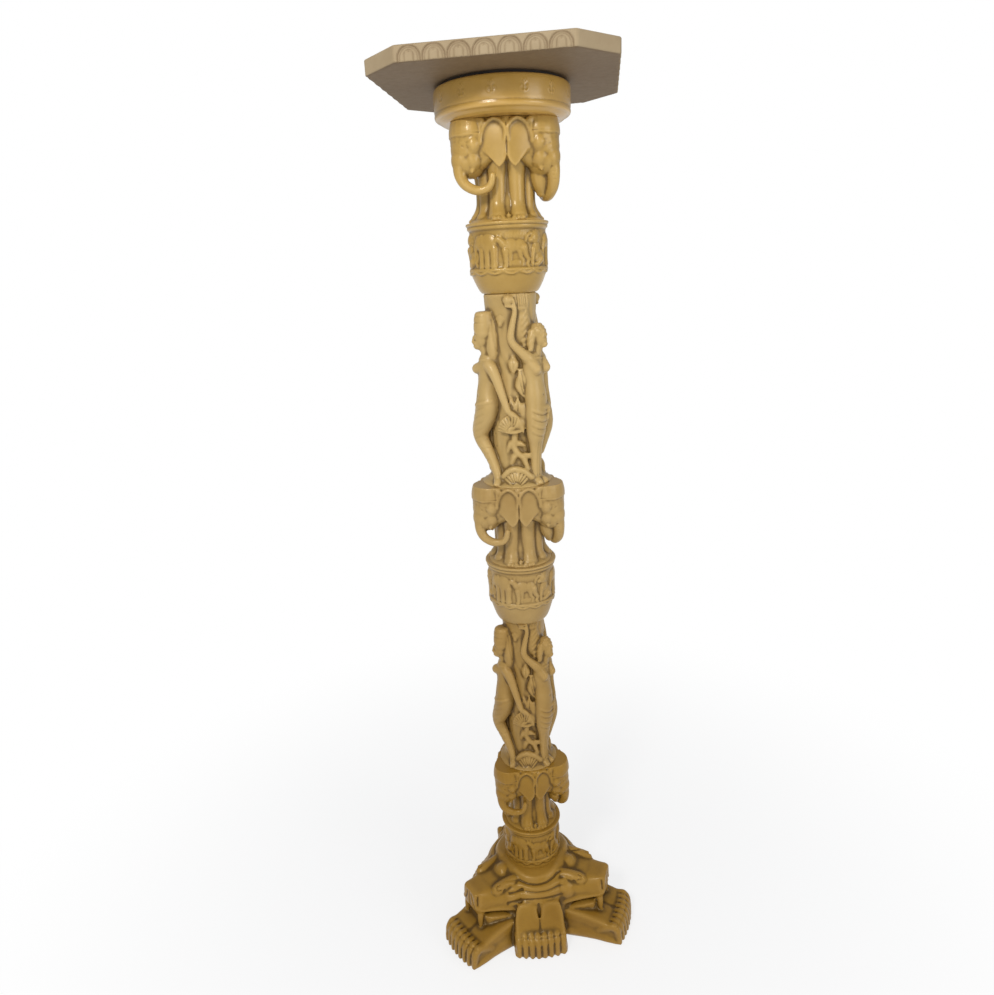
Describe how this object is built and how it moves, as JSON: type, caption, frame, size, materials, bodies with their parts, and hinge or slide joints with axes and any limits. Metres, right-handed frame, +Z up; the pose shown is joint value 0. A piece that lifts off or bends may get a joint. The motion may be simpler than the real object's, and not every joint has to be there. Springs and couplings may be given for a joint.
{
  "type": "carved pedestal column",
  "caption": "Tall cast pedestal column with elephant rings, figure shafts and drums stacked on a lion-paw base, under a loose octagonal slab that turns on a pin.",
  "frame": {"origin": "on the column's axis at floor level, under the middle of the base", "axes": "+Z up along the column, -Y towards the front, where the pair of paws between two lions faces"},
  "size_m": [0.3312, 0.3328, 1.335],
  "materials": {
    "brown_resin": "satin, antiqued with a darker wash",
    "ivory_resin": "semi-gloss, antiqued with a darker wash",
    "slab_resin": "matte",
    "seat_rubber": "matte",
    "felt": "matte",
    "steel": "plain"
  },
  "bodies": {
    "column": {"floor_pads": "felt", "lion_base": "brown_resin", "lower_drum": "brown_resin", "lower_elephants": "brown_resin", "lower_figures": "brown_resin", "middle_drum": "brown_resin", "middle_elephants": "brown_resin", "upper_figures": "ivory_resin", "upper_drum": "ivory_resin", "upper_elephants": "ivory_resin", "collar": "ivory_resin", "seat_ring": "seat_rubber", "pivot_bush": "steel", "tie_rod": "steel", "top_washer": "steel", "top_nut": "steel", "bottom_washer": "steel", "bottom_nut": "steel"},
    "pin": {"pivot_pin": "steel"},
    "top": {"top_slab": "slab_resin"}
  },
  "joints": [
    {"name": "top_lift", "type": "slide", "parent": "column", "child": "pin", "axis": [0, 0, 1], "range_m": [0, 0.06]},
    {"name": "top_turn", "type": "hinge", "parent": "pin", "child": "top", "pos_m": [0, 0, 1.317], "axis": [0, 0, 1], "continuous": true}
  ]
}
